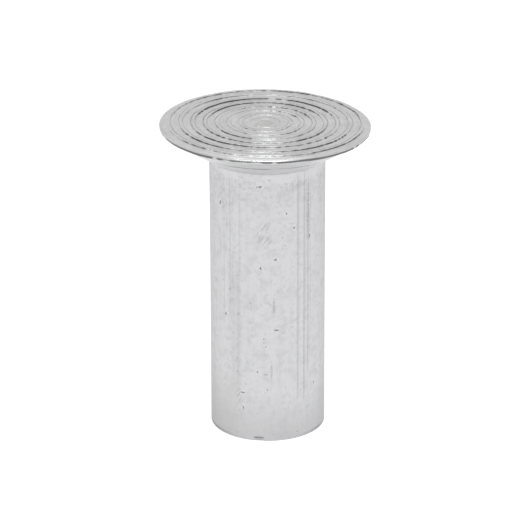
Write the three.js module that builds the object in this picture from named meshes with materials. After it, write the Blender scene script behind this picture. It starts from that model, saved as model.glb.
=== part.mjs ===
// Pillar candle mold, standing on its open end: a straight aluminium tube, a wide
// ringed base that plugs the tube's top, and a steel pin that leaves the wick hole.
// Millimetres, +Z up. The origin is the centre of the tube's open end, where it stands.
import * as THREE from 'three';

// Tube
const TUBE_RADIUS = 25.4;
const TUBE_WALL = 1.6;
const TUBE_LENGTH = 126.5;
const TUBE_EDGE = 0.35; // chamfer on the four edges of the tube's ends

// Base
const SEAM_GAP = 0.2; // between the tube's top end and the base's shoulder
const SPIGOT_CLEARANCE = 0.15; // all round, so that the base pulls off
const SPIGOT_DEPTH = 10;
const SPIGOT_CHAMFER = 1;
const BASE_RADIUS = 46.4;
const BASE_HEIGHT = 14.5; // from the shoulder to the flat of the face
const ROLL_START = 41; // the face is flat as far as this radius, and then rolls off to the rim
const ROLL_DROP = 1; // height that it loses on the way
const ROLL_STEPS = 5;
const RIM_WALL = 1.05; // height of the rim's wall, under the roll
const RIM_TAPER = 0.15; // how much smaller the wall's lower edge is

// Raised rings on the face, one every RING_PITCH out from the axis
const RING_COUNT = 8;
const RING_PITCH = 5.3;
const RING_WIDTH = 1.7;
const RING_CROWN = 0.7; // width of the flat top that the base stands on
const RING_HEIGHT = 0.6;

// The casting isn't quite true to its spigot: the face sits off the axis and leans
const FACE_SHIFT = -0.9; // along X
const FACE_LEAN = THREE.MathUtils.degToRad(0.75); // the +X side is the lower one

// Wick pin
const PIN_RADIUS = 1.5;
const PIN_TIP_RADIUS = 1.2;
const PIN_TIP_Z = 4; // the tip stays this far inside the open end
const PIN_TIP_STEPS = 4;
const HEAD_RADIUS = 3.5;
const HEAD_DEPTH = 1.2;
const PIN_CLEARANCE = 0.1;

const AROUND = 64; // sides of the round outlines
const PIN_AROUND = 32;

const shoulderZ = TUBE_LENGTH + SEAM_GAP;
const faceZ = shoulderZ + BASE_HEIGHT;
const rimZ = faceZ - ROLL_DROP; // the base is widest here
const floorZ = TUBE_LENGTH - SPIGOT_DEPTH; // the end of the cavity
const boreRadius = TUBE_RADIUS - TUBE_WALL;
const spigotRadius = boreRadius - SPIGOT_CLEARANCE;

// Turns an outline of [radius, z] points about the Z axis.
function turned(outline, sides) {
  const points = outline.map(([radius, z]) => new THREE.Vector2(radius, z));
  return new THREE.LatheGeometry(points, sides).rotateX(Math.PI / 2);
}

// Points on an arc, from one angle to another, in degrees.
function arc(radius, centreR, centreZ, from, to, steps) {
  return Array.from({ length: steps + 1 }, (_, i) => {
    const angle = THREE.MathUtils.degToRad(from + ((to - from) * i) / steps);
    return [centreR + radius * Math.cos(angle), centreZ + radius * Math.sin(angle)];
  });
}

// Carries what is above the shoulder off the axis and tips it, more and more up to the rim.
function skewed(geometry) {
  const position = geometry.getAttribute('position');
  const fullZ = rimZ - RIM_WALL;
  for (let i = 0; i < position.count; i++) {
    const share = THREE.MathUtils.clamp(
      (position.getZ(i) - shoulderZ) / (fullZ - shoulderZ), 0, 1);
    const x = position.getX(i);
    position.setX(i, x + share * FACE_SHIFT);
    position.setZ(i, position.getZ(i) - share * x * Math.tan(FACE_LEAN));
  }
  return geometry;
}

function tubeGeometry() {
  const outline = [
    [boreRadius + TUBE_EDGE, 0],
    [TUBE_RADIUS - TUBE_EDGE, 0],
    [TUBE_RADIUS, TUBE_EDGE],
    [TUBE_RADIUS, TUBE_LENGTH - TUBE_EDGE],
    [TUBE_RADIUS - TUBE_EDGE, TUBE_LENGTH],
    [boreRadius + TUBE_EDGE, TUBE_LENGTH],
    [boreRadius, TUBE_LENGTH - TUBE_EDGE],
    [boreRadius, TUBE_EDGE],
    [boreRadius + TUBE_EDGE, 0],
  ];
  return turned(outline, AROUND);
}

// Height of the face between its rings: flat, then a quarter of an ellipse down to the rim.
function landZ(radius) {
  const share = Math.max(0, (radius - ROLL_START) / (BASE_RADIUS - ROLL_START));
  return rimZ + ROLL_DROP * Math.sqrt(1 - share * share);
}

// The roll's outline, from the rim's wall in to the outermost ring.
function rollOutline() {
  const inner = RING_COUNT * RING_PITCH + RING_WIDTH / 2;
  const innerAngle = Math.acos((inner - ROLL_START) / (BASE_RADIUS - ROLL_START));
  return Array.from({ length: ROLL_STEPS }, (_, i) => {
    const radius = ROLL_START
      + (BASE_RADIUS - ROLL_START) * Math.cos((innerAngle * i) / ROLL_STEPS);
    return [radius, landZ(radius)];
  });
}

// The rings' outline on the face, from the outermost ring in to the pin's head.
function ringOutline() {
  const outline = [];
  for (let ring = RING_COUNT; ring >= 1; ring--) {
    const middle = ring * RING_PITCH;
    const outer = middle + RING_WIDTH / 2;
    const inner = middle - RING_WIDTH / 2;
    const crownZ = landZ(middle) + RING_HEIGHT;
    outline.push(
      [outer, landZ(outer)],
      [middle + RING_CROWN / 2, crownZ],
      [middle - RING_CROWN / 2, crownZ],
      [inner, landZ(inner)],
    );
  }
  return outline;
}

function baseGeometry() {
  const holeRadius = PIN_RADIUS + PIN_CLEARANCE;
  const seatRadius = HEAD_RADIUS + PIN_CLEARANCE;
  const seatZ = faceZ - HEAD_DEPTH - PIN_CLEARANCE;
  const outline = [
    [holeRadius, floorZ],
    [spigotRadius - SPIGOT_CHAMFER, floorZ],
    [spigotRadius, floorZ + SPIGOT_CHAMFER],
    [spigotRadius, shoulderZ],
    [TUBE_RADIUS, shoulderZ],
    [BASE_RADIUS - RIM_TAPER, rimZ - RIM_WALL],
    ...rollOutline(),
    ...ringOutline(),
    [seatRadius, faceZ],
    [seatRadius, seatZ],
    [holeRadius, seatZ],
    [holeRadius, floorZ],
  ];
  return skewed(turned(outline, AROUND));
}

function pinGeometry() {
  const outline = [
    ...arc(PIN_TIP_RADIUS, 0, PIN_TIP_Z + PIN_TIP_RADIUS, -90, 0, PIN_TIP_STEPS),
    [PIN_RADIUS, floorZ],
    [PIN_RADIUS, faceZ - HEAD_DEPTH],
    [HEAD_RADIUS, faceZ - HEAD_DEPTH],
    [HEAD_RADIUS, faceZ],
    [0, faceZ],
  ];
  return skewed(turned(outline, PIN_AROUND));
}

function piece(name, geometry, color, roughness, metalness) {
  const material = new THREE.MeshStandardMaterial({ color, roughness, metalness });
  const mesh = new THREE.Mesh(geometry, material);
  mesh.name = name;
  return mesh;
}

const mold = new THREE.Group();
mold.add(piece('mold_tube', tubeGeometry(), 0xd0d1d2, 0.45, 1));
mold.add(piece('mold_base', baseGeometry(), 0xc2c3c4, 0.3, 1));
mold.add(piece('wick_pin', pinGeometry(), 0xb9b8b4, 0.35, 1));

export default mold;
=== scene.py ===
"""Candle mold: the looks. A drawn aluminium tube, a cast and turned base with raised rings,
and a ground steel wick pin, each a detailed mesh in place of its plain CAD node.

Lengths are in millimetres until a mesh is made, and angles run round the axis from the side
that faces the camera, growing towards +X.
"""
import math

import bpy
import numpy as np
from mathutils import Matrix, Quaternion, Vector


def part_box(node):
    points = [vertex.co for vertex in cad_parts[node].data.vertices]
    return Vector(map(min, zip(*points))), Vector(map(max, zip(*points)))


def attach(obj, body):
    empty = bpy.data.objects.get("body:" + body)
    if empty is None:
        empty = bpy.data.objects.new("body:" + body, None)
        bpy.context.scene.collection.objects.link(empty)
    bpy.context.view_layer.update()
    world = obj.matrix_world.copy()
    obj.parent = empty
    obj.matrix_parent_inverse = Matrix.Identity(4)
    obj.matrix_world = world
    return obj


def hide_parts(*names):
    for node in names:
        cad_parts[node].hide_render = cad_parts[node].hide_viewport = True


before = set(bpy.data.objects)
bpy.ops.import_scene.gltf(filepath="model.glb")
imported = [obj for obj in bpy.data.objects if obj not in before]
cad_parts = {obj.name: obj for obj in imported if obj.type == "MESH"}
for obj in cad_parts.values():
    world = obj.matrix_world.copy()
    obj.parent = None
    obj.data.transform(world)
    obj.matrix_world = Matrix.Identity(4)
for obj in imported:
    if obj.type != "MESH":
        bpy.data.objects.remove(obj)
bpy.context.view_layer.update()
MM = 0.001

# ---------------------------------------------------------------- sizes from the frame
tube_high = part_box("mold_tube")[1] / MM
base_low, base_high = (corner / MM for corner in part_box("mold_base"))
pin_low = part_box("wick_pin")[0] / MM

TUBE_RADIUS = tube_high.x
TUBE_TOP = tube_high.z
BASE_RADIUS = (base_high.x - base_low.x) / 2
FACE_SHIFT = (base_high.x + base_low.x) / 2
CAVITY_TOP = base_low.z
PIN_TIP = pin_low.z

# ---------------------------------------------------------------- sizes of the details
TUBE_WALL = 1.6
TUBE_EDGE = 0.4  # radius of the rounded edges of the tube's ends
TUBE_TOP_EDGE = 0.03  # and of the outer one under the base
TUBE_WAVES = 0.02  # how far the wall is out of round
LINE_DEPTH = 0.05  # of a die line of depth 1
FLARE_HEIGHT = 13  # the flare at the tube's top dies out over this height

SEAM_GAP = 0.2
SEAM_SEEN = 0.02  # what shows of the gap
SPIGOT_CLEARANCE = 0.15
SPIGOT_EDGE = 1
HOLE_EDGE = 0.2
SMALL_EDGE = 0.05
SEAT_EDGE = 0.04
BASE_HEIGHT = 14.5
FACE_LEAN = math.radians(0.75)
ROLL_START = 41  # radius where the face starts to roll off to the rim
ROLL_DROP = 1.0
RIM_WALL = 1.05
RIM_TAPER = 0.15
GROOVE_HALF = 0.55  # half width of the tool's grooves in the underside
RING_COUNT = 8
RING_PITCH = 5.3
RING_HALF = 0.8
RING_HEIGHT = 0.52
RING_TOP = 0.6  # no ring stands higher

PIN_RADIUS = 1.5
PIN_TIP_RADIUS = 1.2
PIN_CLEARANCE = 0.1
HEAD_RADIUS = 3.5
HEAD_GAP = 0.03
HEAD_DEPTH = 1.2
HEAD_EDGE = 0.03
HEAD_UNDER_EDGE = 0.1
HEAD_DISH = 0.02  # how far the head's middle lies below its edge

AROUND = 480  # points in each row round the axis

BORE_RADIUS = TUBE_RADIUS - TUBE_WALL
FACE_Z = TUBE_TOP + SEAM_GAP + BASE_HEIGHT
RIM_Z = FACE_Z - ROLL_DROP
SHOULDER_Z = TUBE_TOP + SEAM_SEEN

rng = np.random.default_rng(8)
angle = np.arange(AROUND) * 2 * math.pi / AROUND


def ripple(lowest, highest, falloff):
    """A random curve round the axis that closes on itself, with a spread of 1."""
    order = np.arange(lowest, highest + 1)
    size = rng.normal(size=order.size) / order**falloff
    phase = rng.uniform(0, 2 * math.pi, order.size)
    curve = (size * np.cos(np.outer(angle, order) + phase)).sum(axis=1)
    return curve / curve.std()


def near(middle, spread):
    """A hump round the axis, 1 at an angle in degrees and fading out over a spread."""
    apart = (np.degrees(angle) - middle + 180) % 360 - 180
    return np.exp(-((apart / spread) ** 2))


def between(value, low, high, soft):
    """1 from low to high, and fading to 0 over a soft stretch past both."""
    inside = min(value - low, high - value) / soft
    return min(max(1 + inside, 0), 1)


def level(value):
    """The same number all the way round."""
    return np.full(AROUND, float(value))


def arc_rows(radius, centre_r, centre_z, start, end, steps):
    """Rows on an arc of the outline, from one angle to another, in degrees."""
    turns = np.radians(np.linspace(start, end, steps + 1))
    return [(centre_r + radius * math.cos(t), centre_z + radius * math.sin(t)) for t in turns]


def straight(start, end, steps):
    """Rows between two points of the outline, without the end points."""
    shares = np.linspace(0, 1, steps + 2)[1:-1]
    return [tuple(np.add(start, np.multiply(share, np.subtract(end, start)))) for share in shares]


def turned(name, rows, capped=False, skew=None):
    """A mesh from rows of (radius, z, dirt and painted shade), each a number or one number for each angle.

    Dirt and painted shade may be left out. The rows close on each other as a ring, or have a cap at both
    ends.
    """
    radius = np.array([np.broadcast_to(row[0], AROUND) for row in rows])
    z = np.array([np.broadcast_to(row[1], AROUND) for row in rows])
    dirt_and_shade = np.array([np.broadcast_to(row[2] if len(row) > 2 else 0, AROUND) for row in rows])
    points = np.stack([radius * np.sin(angle), -radius * np.cos(angle), z], axis=-1).reshape(-1, 3)
    row, column = np.meshgrid(np.arange(len(rows) - int(capped)), np.arange(AROUND), indexing="ij")
    next_row = (row + 1) % len(rows)
    next_column = (column + 1) % AROUND
    corners = [
        row * AROUND + column,
        row * AROUND + next_column,
        next_row * AROUND + next_column,
        next_row * AROUND + column,
    ]
    faces = np.stack(corners, axis=-1).reshape(-1, 4).tolist()
    if capped:
        last = (len(rows) - 1) * AROUND
        faces.append(list(range(AROUND))[::-1])
        faces.append([last + i for i in range(AROUND)])
    if skew is not None:
        points = skew(points)
    mesh = bpy.data.meshes.new(name)
    mesh.from_pydata((points * MM).tolist(), [], faces)
    mesh.polygons.foreach_set("use_smooth", [True] * len(faces))
    # The attribute holds real dirt and painted shade, which the materials darken by
    mesh.attributes.new("dirt_and_shade", "FLOAT", "POINT").data.foreach_set("value", dirt_and_shade.ravel())
    piece = bpy.data.objects.new(name, mesh)
    bpy.context.scene.collection.objects.link(piece)
    return piece


# ---------------------------------------------------------------- the base
# How dark the painted shade and dark reflection on the walls of each ring are at the places below, from the
# innermost ring out
RING_WALL_SHADE = (
    (0.15, 0.15, 0.10, 0.10, 0.00),
    (0.50, 0.45, 0.10, 0.25, 0.00),
    (0.35, 0.50, 0.45, 0.00, 0.05),
    (0.80, 0.45, 0.80, 0.25, 0.10),
    (1.10, 0.75, 0.60, 1.10, 0.25),
    (0.95, 0.75, 1.20, 1.20, 0.45),
    (0.95, 0.95, 0.35, 0.35, 0.10),
    (0.70, 0.80, 0.80, 0.50, 0.15),
)
# Angle and spread in degrees: front left, front right, back right, back left and front
RING_PLACES = ((-42, 28), (46, 28), (145, 38), (215, 38), (0, 16))
# How far each ring stands up, as a share of the full height
RING_LIFT = (0.3, 0.5, 0.8, 1, 1, 1, 1, 1)
# The turns, in degrees, of the points across a ring from its outer foot to its inner foot
RING_TURNS = (90, 84, 76, 66, 54, 36, 0, -36, -54, -66, -76, -84, -90)
# Grooves of the turning tool in the underside: radius and depth
GROOVES = ((43, 0.06), (39.2, 0.05), (35.2, 0.16), (31.6, 0.03), (28.6, 0.03))
# The tube's top and the base's foot bulge a little at the left
FLARE = 0.28 * near(-90, 50)


def broken(strength, fine):
    """Painted shade that comes and goes round the axis, slowly and then in short breaks."""
    breaks = 0.15 * ripple(1, 7, 0.4) + 0.17 * ripple(8, fine, 0.3)
    return np.clip(strength * (0.85 + breaks), 0, 1)


def skewed(points):
    """Carries the base off the axis and tips it, more and more from the shoulder to the rim."""
    full = RIM_Z - RIM_WALL
    share = np.clip((points[:, 2] - SHOULDER_Z) / (full - SHOULDER_Z), 0, 1)
    x = points[:, 0].copy()
    points[:, 0] += share * FACE_SHIFT
    points[:, 2] -= share * x * math.tan(FACE_LEAN)
    return points


def land_z(radius):
    """Height of the face between its rings: flat, then a quarter of an ellipse to the rim."""
    share = np.clip((radius - ROLL_START) / (BASE_RADIUS - ROLL_START), 0, 1)
    return RIM_Z + ROLL_DROP * np.sqrt(1 - share**2)


def worn(ring):
    """How much of a ring is left round the axis: the inner ones are rubbed down at the back left."""
    reach = 0.9 * max(0.0, 1 - abs(ring - 2.6) / 3.2)
    return 1 - reach * near(222, 50)


def ring_rows(ring):
    """Rows across one raised ring, from its outer foot to its inner foot."""
    middle = ring * RING_PITCH + 0.28 * math.cos(math.pi * (ring - 2) / 4) + 0.1 * ripple(1, 6, 1)
    half = RING_HALF * (1 + 0.1 * ripple(2, 20, 0.7))
    fine = 10 + 12 * ring
    share = RING_LIFT[ring - 1]
    uneven = 1 + 0.1 * ripple(2, 4 * ring, 0.5) + 0.04 * ripple(8, fine, 0)
    height = np.minimum(RING_HEIGHT * worn(ring) * uneven * share, RING_TOP)
    # Painted shade and dark reflection on the ring's walls, heavier at the places above
    dirt_and_shade = 0.2 + sum(dark * near(*place) for dark, place in zip(RING_WALL_SHADE[ring - 1], RING_PLACES))
    round_off = 1 - 0.43 * share  # the exponent that makes a full ring's section square-shouldered
    walls = {side: (0.045 * ripple(8, fine, 0.3), broken(dirt_and_shade, fine)) for side in (1, -1)}
    rows = []
    for turn in RING_TURNS:
        side = 1 if turn > 0 else -1
        torn, dark = walls[side]
        across = abs(math.sin(math.radians(turn))) ** round_off
        lift = math.cos(math.radians(turn)) ** round_off
        radius = middle + side * (half + torn) * across
        # The painted shade lies on the lower part of each wall
        shade = np.clip(2.2 - 2 * lift, 0, 1)
        rows.append((radius, land_z(middle) + height * lift, dark * shade))
    return rows


def land_rows(outer, inner, steps):
    """Rows over the flat between two rings, with a little of the cast unevenness left."""
    rows = []
    for share in np.linspace(0, 1, steps + 2)[1:-1]:
        radius = outer[0] + share * (inner[0] - outer[0])
        rows.append((radius, land_z(radius) + 0.015 * ripple(3, 60, 0.6)))
    return rows


def face_rows(last):
    """Rows over the face, from the roll of the rim in to the seat of the pin's head."""
    rows = []
    for ring in range(RING_COUNT, 0, -1):
        across = ring_rows(ring)
        rows += land_rows(last, across[0], 3) + across
        last = across[-1]
    seat = HEAD_RADIUS + HEAD_GAP
    return rows + land_rows(last, (level(seat), FACE_Z), 2)


def rim_rows():
    """Rows up the rim's wall and over its roll, with a wavy edge that stays inside the true one."""
    wave = 0.07 * ripple(2, 9, 0.5) + 0.035 * ripple(9, 60, 0.3)
    wave = (wave - wave.max()) * (1 - 0.9 * near(-112, 60))
    lift = 0.07 * ripple(3, 16, 0.4)
    lift = (lift - lift.max()) * (1 - 0.9 * near(-130, 50))
    # Painted shade and dark reflection on the rim's wall, and a little at the start of its roll
    dark = broken(1.0 + near(-60, 20) + 0.8 * near(36, 22) + 0.5 * near(165, 30), 90)
    heavy = 0.9 * near(-45, 20) + 0.6 * near(26, 9)
    foot = BASE_RADIUS - RIM_TAPER
    rows = []
    # How much of the painted shade lies at each share of the wall's height
    for share, dirt_and_shade in ((0, 0), (0.12, 0.3), (0.3, 0.8), (0.6, 1), (0.85, 1)):
        z = RIM_Z - RIM_WALL * (1 - share) + lift
        rows.append((foot + wave + share * RIM_TAPER, z, (dirt_and_shade + (1 - dirt_and_shade) * heavy) * dark))
    for turn in np.radians(np.linspace(0, 62, 9)):
        radius = ROLL_START + (BASE_RADIUS - ROLL_START) * math.cos(turn)
        fade = math.cos(turn) ** 2
        rows.append((radius + fade * wave, land_z(radius) + fade * lift, dark * 0.6 * (turn == 0)))
    return rows


def cone_rows(end_radius, end_z):
    """Rows up the conical underside, with the grooves that the turning tool left."""
    start_z = SHOULDER_Z + 0.02
    start_radius = TUBE_RADIUS + FLARE
    slope = math.atan2(end_z - start_z, BASE_RADIUS - TUBE_RADIUS)
    rows = []
    for share in np.linspace(0, 1, 40)[:-1]:
        radius = start_radius + share * (end_radius - start_radius)
        z = start_z + share * (end_z - start_z)
        deep = sum(
            groove * np.exp(-(((radius - at) / GROOVE_HALF) ** 2)) for at, groove in GROOVES
        )
        deep = deep * (1 + 0.35 * ripple(2, 40, 0.6))
        depth = deep + 0.012 * ripple(4, 80, 0.5) * (share > 0)
        # Painted shade in the tool's grooves, as dark as they are deep
        dirt_and_shade = np.clip(6 * deep, 0, 0.75)
        rows.append((radius - depth * math.sin(slope), z + depth * math.cos(slope), dirt_and_shade))
    return rows


def make_base():
    """The base: spigot, conical underside, rim, ringed face and the hole for the pin."""
    spigot = BORE_RADIUS - SPIGOT_CLEARANCE
    hole = PIN_RADIUS + PIN_CLEARANCE
    seat = HEAD_RADIUS + HEAD_GAP
    seat_z = FACE_Z - HEAD_DEPTH - PIN_CLEARANCE
    rim = rim_rows()
    rows = [(hole + HOLE_EDGE, CAVITY_TOP)]
    rows += straight((hole + HOLE_EDGE, CAVITY_TOP), (spigot - SPIGOT_EDGE, CAVITY_TOP), 3)
    rows += arc_rows(SPIGOT_EDGE, spigot - SPIGOT_EDGE, CAVITY_TOP + SPIGOT_EDGE, -90, 0, 4)
    rows += straight((spigot, CAVITY_TOP + SPIGOT_EDGE), (spigot, SHOULDER_Z), 3)
    rows += [(spigot, SHOULDER_Z - SMALL_EDGE), (spigot + SMALL_EDGE, SHOULDER_Z)]
    rows += [(TUBE_RADIUS - 0.1 + FLARE, SHOULDER_Z)]
    rows += cone_rows(rim[0][0], RIM_Z - RIM_WALL)
    rows += rim
    rows += face_rows(rim[-1])
    rows += [(seat + SEAT_EDGE, FACE_Z), (seat, FACE_Z - SEAT_EDGE)]
    rows += [(seat, seat_z + SMALL_EDGE), (seat - SMALL_EDGE, seat_z)]
    rows += [(hole + SMALL_EDGE, seat_z), (hole, seat_z - SMALL_EDGE)]
    rows += straight((hole, seat_z - SMALL_EDGE), (hole, CAVITY_TOP + HOLE_EDGE), 3)
    rows += [(hole, CAVITY_TOP + HOLE_EDGE)]
    return turned("base", rows, skew=skewed)


# ---------------------------------------------------------------- the tube
NICK_ANGLE = math.radians(-9)
NICK_WIDTH = 2.5
NICK_HEIGHT = 1.5
NICK_DEPTH = 0.55


def nick_width():
    """1 across the nick in the bottom edge, and 0 beside it."""
    around = (angle - NICK_ANGLE + math.pi) % (2 * math.pi) - math.pi
    return np.clip(1 - (around * TUBE_RADIUS / NICK_WIDTH) ** 4, 0, 1)


def nick(z):
    """How far the wall is knocked in at the bottom edge, round the axis."""
    return NICK_DEPTH * nick_width() * np.clip(1 - (z / NICK_HEIGHT) ** 3, 0, 1)


# Lines that the die left up the tube: angle and half width in degrees, depth, and from where to where
DIE_LINES = (
    (31.5, 1.2, 0.50, 24, 121),
    (39.0, 0.8, 0.75, 22, 122),
    (41.2, 0.5, 0.35, 60, 122),
    (44.0, 0.8, 0.65, 34, 121),
    (47.0, 0.5, 0.35, 40, 120),
    (-48.0, 0.8, 0.25, 62, 121),
    (-40.0, 1.0, 0.30, 60, 122),
    (-37.0, 0.6, 0.20, 75, 120),
    (-28.5, 1.1, 0.20, 84, 116),
)


def die_lines(z):
    """How deep the die's lines are at a height, round the axis."""
    return sum(
        depth * near(middle, spread) * between(z, low, high, 6)
        for middle, spread, depth, low, high in DIE_LINES
    )


def tube_dirt_and_shade(z):
    """How dark the wall is at a height: die lines and a rubbed band, with painted shade at the bottom edge
    and in the nick.
    """
    band = (0.11 * near(-36, 5) + 0.14 * near(-30, 2.4)) * (np.degrees(angle) < 332.8)
    dirt_and_shade = 0.55 * die_lines(z) + band * between(z, 28, 78, 10)
    # Painted shade along the bottom edge, where the tube meets the floor
    edge = between(z, 0.9, 1.3, 0.4) * (near(-62, 20) + 0.8 * near(60, 18) + 0.6 * near(165, 45))
    # Painted shade at the top and the foot of the nick
    knock = nick_width() * (between(z, 1.3, 1.8, 0.3) + 0.8 * between(z, -1, 0.3, 0.3))
    return np.clip(dirt_and_shade + 0.7 * edge + 0.9 * knock, 0, 1)


def make_tube():
    """The tube: its rounded foot, its wall with the die's lines, its top edge and its bore."""
    shape = [0.35 * ripple(2, 4, 1), 0.35 * ripple(2, 9, 0.8)]
    outer = []
    heights = [TUBE_EDGE, 0.6, 0.85, 1.1, 1.3, 1.5, 1.8, 2.4, 3.2]
    heights += list(np.linspace(4, TUBE_TOP - 1, 60)) + [TUBE_TOP - TUBE_TOP_EDGE]
    for z in heights:
        share = z / TUBE_TOP
        waves = (1 - share) * shape[0] + share * shape[1]
        flare = FLARE * math.exp(-(TUBE_TOP - z) / FLARE_HEIGHT)
        groove = LINE_DEPTH * die_lines(z)
        radius = TUBE_RADIUS + TUBE_WAVES * waves + flare - nick(z) - groove
        outer.append((radius, z, tube_dirt_and_shade(z)))
    foot = outer[0][0] - TUBE_RADIUS
    head = outer[-1][0] - TUBE_RADIUS
    rows = []
    for r, z in arc_rows(TUBE_EDGE, TUBE_RADIUS - TUBE_EDGE, TUBE_EDGE, -90, 0, 4)[:-1]:
        rows.append((r + foot, z, tube_dirt_and_shade(z)))
    rows += outer
    top = arc_rows(TUBE_TOP_EDGE, TUBE_RADIUS - TUBE_TOP_EDGE, TUBE_TOP - TUBE_TOP_EDGE, 0, 90, 3)
    for r, z in top[1:]:
        rows.append((r + head, z))
    inner_edge = BORE_RADIUS + TUBE_EDGE
    rows += arc_rows(TUBE_EDGE, inner_edge, TUBE_TOP - TUBE_EDGE, 90, 180, 4)
    rows += straight((BORE_RADIUS, TUBE_TOP - TUBE_EDGE), (BORE_RADIUS, TUBE_EDGE), 30)
    rows += arc_rows(TUBE_EDGE, inner_edge, TUBE_EDGE, 180, 270, 4)
    return turned("tube", rows)


# ---------------------------------------------------------------- the wick pin
def make_pin():
    """The pin: a rounded tip, a slightly tapered shank and a flat head, flush with the face."""
    head_z = FACE_Z - HEAD_DEPTH
    rows = arc_rows(PIN_TIP_RADIUS, 0, PIN_TIP + PIN_TIP_RADIUS, -88, 0, 8)
    rows += straight((PIN_TIP_RADIUS, PIN_TIP + PIN_TIP_RADIUS), (PIN_RADIUS, CAVITY_TOP), 20)
    rows += [(PIN_RADIUS, CAVITY_TOP), (PIN_RADIUS, head_z - SMALL_EDGE)]
    rows += [(PIN_RADIUS + SMALL_EDGE, head_z), (HEAD_RADIUS - HEAD_UNDER_EDGE, head_z)]
    rows += arc_rows(HEAD_UNDER_EDGE, HEAD_RADIUS - HEAD_UNDER_EDGE, head_z + HEAD_UNDER_EDGE, -60, 0, 2)
    rows += arc_rows(HEAD_EDGE, HEAD_RADIUS - HEAD_EDGE, FACE_Z - HEAD_EDGE, 0, 85, 4)
    middle = (0.1, FACE_Z - HEAD_DISH)
    rows += straight((HEAD_RADIUS - HEAD_EDGE, FACE_Z), middle, 6)
    rows += [middle]
    return turned("wick_pin_turned", rows, capped=True, skew=skewed)


# ---------------------------------------------------------------- materials
class Recipe:
    """A material under construction, with short calls for the nodes that it needs."""

    def __init__(self, name):
        self.material = bpy.data.materials.new(name)
        self.material.use_nodes = True
        self.tree = self.material.node_tree
        self.shader = self.tree.nodes["Principled BSDF"]
        coordinates = self.tree.nodes.new("ShaderNodeTexCoord")
        self.place = coordinates.outputs["Object"]
        split = self.tree.nodes.new("ShaderNodeSeparateXYZ")
        self.tree.links.new(self.place, split.inputs[0])
        self.x, self.y, self.z = split.outputs
        facing = self.tree.nodes.new("ShaderNodeSeparateXYZ")
        self.tree.links.new(coordinates.outputs["Normal"], facing.inputs[0])
        self.facing_z = facing.outputs[2]

    def link(self, source, socket):
        """Feeds a socket from another node's output, or sets it to a number."""
        if isinstance(source, (int, float)):
            socket.default_value = source
        else:
            self.tree.links.new(source, socket)

    def mesh_value(self, name):
        """A value that the mesh holds at each point."""
        node = self.tree.nodes.new("ShaderNodeAttribute")
        node.attribute_name = name
        return node.outputs["Fac"]

    def math(self, operation, *values):
        node = self.tree.nodes.new("ShaderNodeMath")
        node.operation = operation
        for value, socket in zip(values, node.inputs):
            self.link(value, socket)
        return node.outputs[0]

    def point(self, x, y, z):
        node = self.tree.nodes.new("ShaderNodeCombineXYZ")
        for value, socket in zip((x, y, z), node.inputs):
            self.link(value, socket)
        return node.outputs[0]

    def length(self, vector):
        node = self.tree.nodes.new("ShaderNodeVectorMath")
        node.operation = "LENGTH"
        self.link(vector, node.inputs[0])
        return node.outputs["Value"]

    def noise(self, place, scale, detail=2, roughness=0.5):
        node = self.tree.nodes.new("ShaderNodeTexNoise")
        self.link(place, node.inputs["Vector"])
        node.inputs["Scale"].default_value = scale
        node.inputs["Detail"].default_value = detail
        node.inputs["Roughness"].default_value = roughness
        return node.outputs[0]

    def ramp(self, value, low, high, to_low=0, to_high=1):
        """A smooth step between two values as the first goes from low to high."""
        node = self.tree.nodes.new("ShaderNodeMapRange")
        node.interpolation_type = "SMOOTHSTEP"
        for source, socket in zip((value, low, high, to_low, to_high), node.inputs):
            self.link(source, socket)
        return node.outputs[0]

    def blend(self, share, first, second):
        node = self.tree.nodes.new("ShaderNodeMix")
        node.data_type = "RGBA"
        self.link(share, node.inputs["Factor"])
        for colour, socket in ((first, node.inputs["A"]), (second, node.inputs["B"])):
            if isinstance(colour, tuple):
                socket.default_value = (*colour, 1)
            else:
                self.link(colour, socket)
        return node.outputs["Result"]

    def bump(self, height, distance, after=None):
        node = self.tree.nodes.new("ShaderNodeBump")
        node.inputs["Strength"].default_value = 1.0
        node.inputs["Distance"].default_value = distance
        self.link(height, node.inputs["Height"])
        if after is not None:
            self.link(after, node.inputs["Normal"])
        return node.outputs[0]

    def finish(self, colour, roughness, normal):
        self.shader.inputs["Metallic"].default_value = 1.0
        self.link(colour, self.shader.inputs["Base Color"])
        self.link(roughness, self.shader.inputs["Roughness"])
        self.link(normal, self.shader.inputs["Normal"])
        return self.material


# Pits and knocks on the tube: angle in degrees, height, and half sizes across and up
PITS = (
    (8, 86.8, 0.6, 0.6), (-7, 82.8, 0.5, 0.7), (8.3, 53.5, 1.0, 0.5), (-25.6, 22.7, 0.7, 0.6),
    (-8, 120.7, 1.0, 0.5), (-54, 110, 0.7, 1.2), (19, 108, 0.5, 0.5), (27, 101, 0.35, 0.8),
    (46, 95, 0.4, 0.9), (-10, 33.5, 0.4, 0.4), (-2, 45.8, 0.4, 0.3), (-4, 49.5, 0.3, 0.4),
    (0, 25, 0.4, 0.4), (-25, 15.5, 0.4, 0.9), (-46, 58.5, 0.4, 1.3), (53, 24, 0.35, 0.9),
)
# Rubbed and stained places on the tube, in the same terms
SCUFFS = (
    (-4, 99, 4.2, 7.5), (1.5, 97.5, 1.8, 5), (-31, 20, 3.5, 3.5), (-50, 112, 3.0, 8.0), (26, 121, 7.0, 3.0),
)
SMEARS = ((6.3, 65, 0.8, 6), (3.9, 33.5, 0.7, 6), (44, 104, 1.3, 14))


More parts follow.
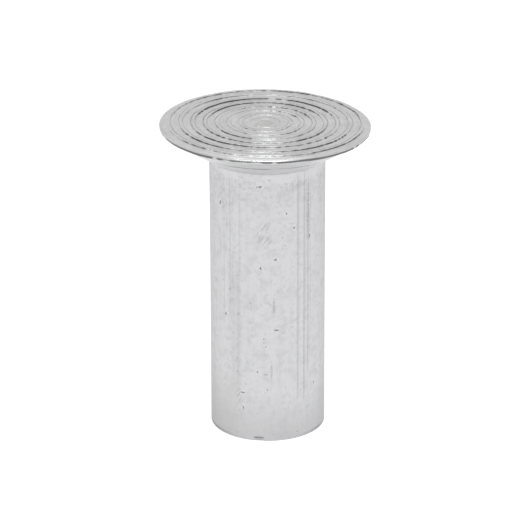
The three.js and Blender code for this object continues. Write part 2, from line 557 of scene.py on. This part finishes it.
def drawn_aluminium():
    """Satin aluminium drawn through a die: long lines up the tube, stains, scuffs and pits, with painted
    shade towards the foot and at the bottom edge.
    """
    r = Recipe("drawn_aluminium")
    turn = r.math("ARCTAN2", r.x, r.math("MULTIPLY", r.y, -1))
    around = r.math("MULTIPLY", turn, TUBE_RADIUS)
    height = r.math("DIVIDE", r.z, MM)

    def reach(degrees, middle, across, up):
        """Distance from a spot's middle, 1 at its edge."""
        start = math.radians(degrees) * TUBE_RADIUS
        sideways = r.math("MULTIPLY_ADD", around, 1 / across, -start / across)
        upwards = r.math("MULTIPLY_ADD", height, 1 / up, -middle / up)
        return r.length(r.point(sideways, upwards, 0))

    def closest(spots):
        """Distance from the nearest of some spots."""
        nearest = reach(*spots[0])
        for spot in spots[1:]:
            nearest = r.math("MINIMUM", nearest, reach(*spot))
        return nearest

    def stretched(share, scale, roughness):
        """Noise drawn out up the tube, where only a share of the height counts."""
        return r.noise(r.point(around, 0, r.math("MULTIPLY", height, share)), scale, 3, roughness)

    fine_lines = stretched(0.012, 1.9, 0.65)
    wide_lines = stretched(0.03, 0.3, 0.6)
    grain = stretched(0.4, 2.6, 0.6)
    cloud = r.noise(r.place, 110, 4, 0.6)
    mottle = r.noise(r.place, 520, 3, 0.6)
    blotch = r.noise(r.place, 230, 3, 0.6)
    pits = r.noise(r.place, 760, 2, 0.5)
    across = r.math("ADD", around, r.math("MULTIPLY", height, -0.6))
    scuffs = r.noise(r.point(across, 0, r.math("MULTIPLY", height, 0.25)), 0.9, 3, 0.6)

    # Drawn lines, fainter in the middle of the front
    tone = r.blend(r.ramp(cloud, 0.3, 0.7), (0.63, 0.63, 0.638), (0.69, 0.69, 0.70))
    lined = r.ramp(r.math("ABSOLUTE", turn), 0.3, 0.6, 0.3, 1)
    lines = r.math("MULTIPLY", r.ramp(fine_lines, 0.42, 0.72, 0, 0.3), lined)
    tone = r.blend(lines, tone, (0.50, 0.50, 0.51))
    tone = r.blend(r.ramp(wide_lines, 0.5, 0.75, 0, 0.25), tone, (0.56, 0.56, 0.57))

    # A light band under the base and a darker, mottled one below it
    top = r.math("ADD", height, r.math("MULTIPLY", mottle, -3))
    tone = r.blend(r.ramp(top, TUBE_TOP - 7.5, TUBE_TOP - 4.5, 0, 0.25), tone, (0.72, 0.72, 0.735))
    below = r.ramp(top, TUBE_TOP - 5, TUBE_TOP - 7, 0, 1)
    shade = r.math("MULTIPLY", below, r.ramp(top, TUBE_TOP - 24, TUBE_TOP - 9))
    dark_band = r.math("MULTIPLY", r.ramp(mottle, 0.4, 0.65, 0.1, 0.5), shade)
    tone = r.blend(dark_band, tone, (0.54, 0.54, 0.55))

    # Painted shade, darker towards the foot; a darker, warmer patch at the left foot
    low = r.math("ADD", height, r.math("MULTIPLY", cloud, 10))
    tone = r.blend(r.ramp(low, 3, 32, 0.52, 0), tone, (0.46, 0.46, 0.465))
    left_foot = r.math("MULTIPLY", r.ramp(turn, -0.75, -0.35, 1, 0), r.ramp(low, 14, 42, 0.3, 0))
    tone = r.blend(left_foot, tone, (0.46, 0.455, 0.445))

    # Stains all over, then the scuffs and smears
    tone = r.blend(r.ramp(mottle, 0.50, 0.72, 0, 0.45), tone, (0.50, 0.50, 0.51))
    tone = r.blend(r.ramp(blotch, 0.46, 0.68, 0, 0.4), tone, (0.52, 0.52, 0.53))
    tone = r.blend(r.ramp(grain, 0.60, 0.78, 0, 0.5), tone, (0.45, 0.45, 0.46))
    in_scuff = r.ramp(closest(SCUFFS), 0.3, 1.1, 1, 0)
    rubbed = r.math("MULTIPLY", r.ramp(scuffs, 0.44, 0.62, 0, 0.6), in_scuff)
    tone = r.blend(rubbed, tone, (0.38, 0.38, 0.39))
    in_smear = r.ramp(closest(SMEARS), 0.2, 1.1, 1, 0)
    smeared = r.math("MULTIPLY", r.ramp(grain, 0.35, 0.6, 0, 0.7), in_smear)
    tone = r.blend(smeared, tone, (0.36, 0.36, 0.37))

    # Pits with ragged edges and light burrs, and last the dirt and painted shade that the mesh holds
    torn = r.ramp(r.noise(r.place, 1500, 2, 0.6), 0.3, 0.7, -0.7, 0.7)
    ragged = r.math("ADD", closest(PITS), torn)
    knocks = r.ramp(ragged, 0.3, 1.1, 1, 0)
    burrs = r.math("MULTIPLY", r.ramp(ragged, 1.0, 1.3), r.ramp(ragged, 1.4, 2.2, 1, 0))
    tone = r.blend(r.math("MULTIPLY", burrs, 0.35), tone, (0.85, 0.85, 0.86))
    hollows = r.math("MAXIMUM", knocks, r.ramp(pits, 0.70, 0.78, 0, 0.7))
    tone = r.blend(r.math("MULTIPLY", hollows, 0.75), tone, (0.20, 0.20, 0.21))
    dirt_and_shade = r.math("MULTIPLY", r.mesh_value("dirt_and_shade"), r.ramp(grain, 0.3, 0.7, 0.5, 1.4))
    tone = r.blend(r.math("MULTIPLY", dirt_and_shade, 0.85), tone, (0.16, 0.16, 0.165))

    roughness = r.ramp(cloud, 0.3, 0.7, 0.44, 0.55)
    normal = r.bump(fine_lines, 0.00006)
    normal = r.bump(mottle, 0.00005, after=normal)
    normal = r.bump(r.math("SUBTRACT", 1, hollows), 0.0002, after=normal)
    r.shader.inputs["Specular Tint"].default_value = (0.7, 0.7, 0.7, 1)
    return r.finish(tone, roughness, normal)


def turned_aluminium():
    """Bright cast aluminium with the fine rings of the lathe tool, and a rougher underside darkened with
    painted shade.
    """
    r = Recipe("turned_aluminium")
    from_axis = r.math("SQRT", r.math("ADD", r.math("POWER", r.x, 2), r.math("POWER", r.y, 2)))
    tool_lines = r.noise(r.point(from_axis, 0, r.math("MULTIPLY", r.z, 0.2)), 2600, 2, 0.6)
    cloud = r.noise(r.place, 90, 4, 0.6)
    mottle = r.noise(r.place, 420, 3, 0.6)
    turn = r.math("ARCTAN2", r.x, r.y)
    ring_place = r.point(
        from_axis,
        r.math("MULTIPLY", r.math("SINE", turn), 0.0035),
        r.math("MULTIPLY", r.math("COSINE", turn), 0.0035),
    )
    grain = r.noise(ring_place, 900, 3, 0.6)
    pores = r.noise(r.place, 1100, 1, 0.5)
    inside = r.ramp(r.z, (SHOULDER_Z - 0.1) * MM, SHOULDER_Z * MM, 1, 0)
    under = r.math("MAXIMUM", r.ramp(r.facing_z, -0.5, -0.2, 1, 0), inside)
    tone = r.blend(r.ramp(cloud, 0.3, 0.7), (0.78, 0.78, 0.78), (0.87, 0.87, 0.88))
    tone = r.blend(r.ramp(grain, 0.40, 0.66, 0, 0.35), tone, (0.60, 0.60, 0.605))
    tone = r.blend(r.ramp(mottle, 0.50, 0.70, 0, 0.35), tone, (0.58, 0.58, 0.585))
    tone = r.blend(r.ramp(pores, 0.70, 0.80, 0, 0.7), tone, (0.35, 0.35, 0.35))
    # Painted shade: the faces that look down and the hidden part below the shoulder are darker
    tone = r.blend(r.math("MULTIPLY", under, 0.6), tone, (0.56, 0.56, 0.565))
    # Dirt and painted shade that the mesh holds: painted shade and dark reflection on the ring and rim
    # walls, painted shade in the grooves
    tone = r.blend(r.ramp(r.mesh_value("dirt_and_shade"), 0.1, 0.9, 0, 0.9), tone, (0.07, 0.07, 0.075))
    polish = r.ramp(grain, 0.3, 0.7, 0.20, 0.34)
    roughness = r.math("MAXIMUM", polish, r.math("MULTIPLY", under, 0.55))
    normal = r.bump(tool_lines, 0.00004)
    normal = r.bump(grain, 0.00005, after=normal)
    normal = r.bump(mottle, 0.00004, after=normal)
    return r.finish(tone, roughness, normal)


def ground_steel():
    """Steel ground round, with fine marks across the pin."""
    r = Recipe("ground_steel")
    rings = r.noise(r.point(0, 0, r.z), 3000, 2, 0.6)
    cloud = r.noise(r.place, 200, 3, 0.6)
    tone = r.blend(r.ramp(cloud, 0.3, 0.7), (0.66, 0.657, 0.65), (0.75, 0.747, 0.74))
    roughness = r.ramp(cloud, 0.3, 0.7, 0.26, 0.36)
    return r.finish(tone, roughness, r.bump(rings, 0.00003))


# ---------------------------------------------------------------- floor, light and camera
def make_floor():
    """A wide pale floor that glows, so that it stays plain. From below it lets the view through."""
    mesh = bpy.data.meshes.new("floor")
    half = 6.0
    corners = [(-half, -half, 0), (half, -half, 0), (half, half, 0), (-half, half, 0)]
    mesh.from_pydata(corners, [], [(0, 1, 2, 3)])
    floor = bpy.data.objects.new("floor", mesh)
    bpy.context.scene.collection.objects.link(floor)
    material = bpy.data.materials.new("pale_floor")
    material.use_nodes = True
    tree = material.node_tree
    paint = tree.nodes["Principled BSDF"]
    paint.inputs["Base Color"].default_value = (0.55, 0.55, 0.55, 1)
    paint.inputs["Roughness"].default_value = 0.9
    paint.inputs["Specular IOR Level"].default_value = 0.1
    paint.inputs["Emission Color"].default_value = (1, 1, 1, 1)
    paint.inputs["Emission Strength"].default_value = 0.75
    side = tree.nodes.new("ShaderNodeNewGeometry")
    clear = tree.nodes.new("ShaderNodeBsdfTransparent")
    mix = tree.nodes.new("ShaderNodeMixShader")
    tree.links.new(side.outputs["Backfacing"], mix.inputs[0])
    tree.links.new(paint.outputs[0], mix.inputs[1])
    tree.links.new(clear.outputs[0], mix.inputs[2])
    tree.links.new(mix.outputs[0], tree.nodes["Material Output"].inputs["Surface"])
    mesh.materials.append(material)


LAMP_DISTANCE = 1.36
CAMERA_DISTANCE = 1.4952
CAMERA_ABOVE = math.radians(22.295)
CAMERA_ROLL = math.radians(-0.09)
CAMERA_CENTRE = 0.06985  # the camera stands off from this height on the axis
CAMERA_AIM = Vector((-0.00115, 0, CAMERA_CENTRE + 0.00435))
CAMERA_LENS = 229.02
SENSOR_WIDTH = 36


def make_softbox(name, width, depth, energy, behind):
    """A lamp above the part, facing its top, so many degrees back from straight overhead."""
    lamp = bpy.data.lights.new(name, "AREA")
    lamp.shape = "RECTANGLE"
    lamp.size = width
    lamp.size_y = depth
    lamp.energy = energy
    softbox = bpy.data.objects.new(name, lamp)
    top = Vector((0, 0, FACE_Z * MM))
    lean = math.radians(behind)
    softbox.location = top + Vector((0, math.sin(lean), math.cos(lean))) * LAMP_DISTANCE
    softbox.rotation_mode = "QUATERNION"
    softbox.rotation_quaternion = (top - softbox.location).to_track_quat("-Z", "Y")
    bpy.context.scene.collection.objects.link(softbox)


def make_light():
    """A bright softbox a little to the front, a dim one further back, and a pale room."""
    make_softbox("softbox", 0.7, 0.34, 3.5, -14)
    make_softbox("softbox_back", 0.8, 0.4, 0.5, 28)

    world = bpy.data.worlds.new("room")
    bpy.context.scene.world = world
    world.use_nodes = True
    tree = world.node_tree
    direction = tree.nodes.new("ShaderNodeTexCoord")
    split = tree.nodes.new("ShaderNodeSeparateXYZ")
    shade = tree.nodes.new("ShaderNodeMapRange")
    shade.interpolation_type = "SMOOTHSTEP"
    mix = tree.nodes.new("ShaderNodeMix")
    mix.data_type = "RGBA"
    tree.links.new(direction.outputs["Generated"], split.inputs[0])
    tree.links.new(split.outputs[1], shade.inputs["Value"])
    shade.inputs["From Min"].default_value = -0.7
    shade.inputs["From Max"].default_value = 0.5
    mix.inputs["A"].default_value = (0.64, 0.64, 0.64, 1)
    mix.inputs["B"].default_value = (0.7, 0.7, 0.7, 1)
    tree.links.new(shade.outputs[0], mix.inputs["Factor"])
    tree.links.new(mix.outputs["Result"], tree.nodes["Background"].inputs["Color"])
    bpy.context.scene.view_settings.view_transform = "Standard"


def make_camera():
    """Far off and 22.3 degrees above the level, with a long lens and a trace of roll."""
    data = bpy.data.cameras.new("camera")
    data.sensor_width = SENSOR_WIDTH
    data.lens = CAMERA_LENS
    data.clip_start = 0.01
    camera = bpy.data.objects.new("camera", data)
    back = CAMERA_DISTANCE * math.cos(CAMERA_ABOVE)
    camera.location = (0, -back, CAMERA_CENTRE + CAMERA_DISTANCE * math.sin(CAMERA_ABOVE))
    camera.rotation_mode = "QUATERNION"
    roll = Quaternion((0, 0, 1), CAMERA_ROLL)
    camera.rotation_quaternion = (CAMERA_AIM - camera.location).to_track_quat("-Z", "Y") @ roll
    bpy.context.scene.collection.objects.link(camera)
    bpy.context.scene.camera = camera


# ---------------------------------------------------------------- the whole
def settle(piece, body, node, material):
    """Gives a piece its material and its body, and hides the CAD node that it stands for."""
    piece.data.materials.append(material)
    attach(piece, body)
    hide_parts(node)


settle(make_tube(), "tube", "mold_tube", drawn_aluminium())
settle(make_base(), "base", "mold_base", turned_aluminium())
settle(make_pin(), "base", "wick_pin", ground_steel())
make_floor()
make_light()
make_camera()
